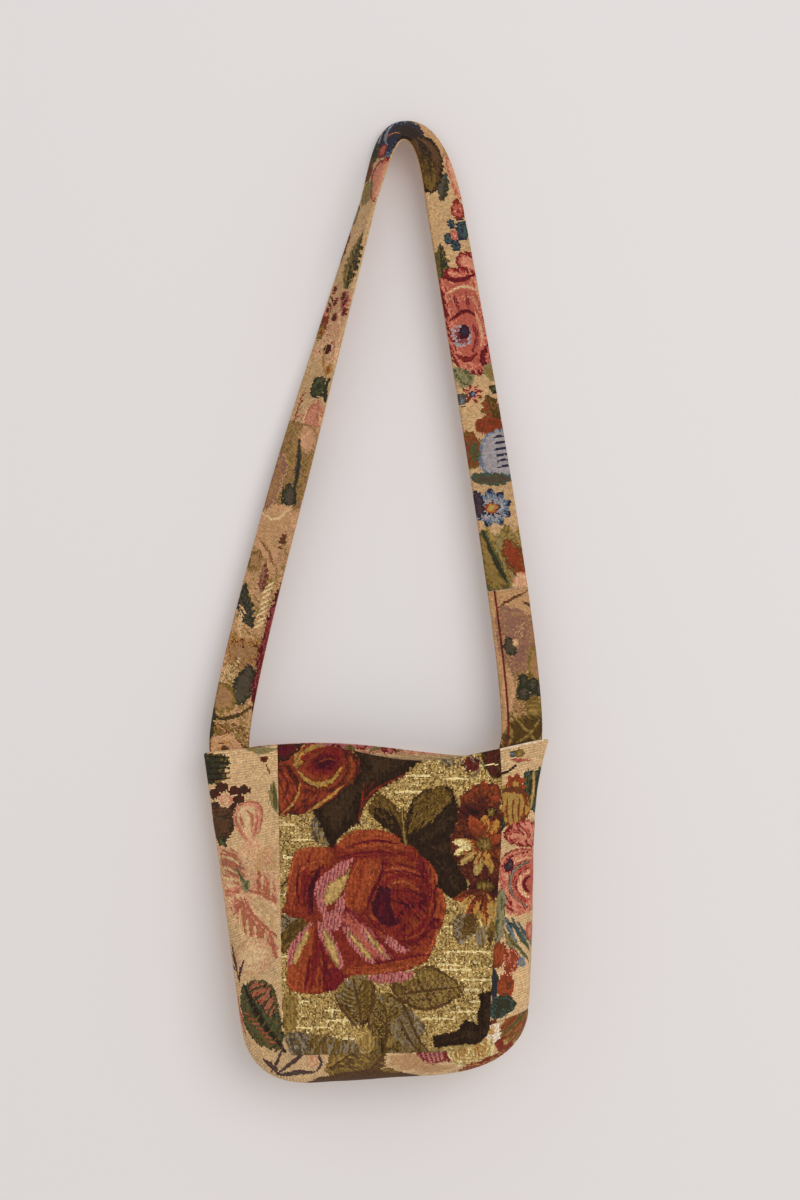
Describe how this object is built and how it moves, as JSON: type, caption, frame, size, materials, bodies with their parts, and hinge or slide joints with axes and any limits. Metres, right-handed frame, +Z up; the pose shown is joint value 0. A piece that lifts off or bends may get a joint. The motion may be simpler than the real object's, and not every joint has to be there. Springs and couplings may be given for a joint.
{
  "type": "tapestry pouch bag",
  "caption": "Patchwork tapestry crossbody pouch with a floral front panel, a pale floral gusset round sides and foot, an open hemmed mouth and a long flat strap, hanging.",
  "frame": {"origin": "the point under the strap's crown that bears on the peg it hangs from", "axes": "+Z up, +X to the right of the front panel seen from the front, +Y to the back, towards the wall it hangs on"},
  "size_m": [0.296, 0.08, 0.8249],
  "materials": {
    "rose_tapestry": "matt jacquard weave, dark roses on a gold ground",
    "pale_tapestry": "matt jacquard weave, small flowers on a cream ground",
    "tan_tapestry": "matt jacquard weave, muted flowers on a tan ground",
    "strap_tapestry": "matt jacquard weave, roses and blue flowers on a cream ground"
  },
  "bodies": {
    "root": {"front_panel": "rose_tapestry", "back_panel": "pale_tapestry", "main_gusset": "pale_tapestry", "right_gusset": "pale_tapestry", "strap_left": "tan_tapestry", "strap_middle": "strap_tapestry", "strap_right": "tan_tapestry"}
  },
  "joints": []
}
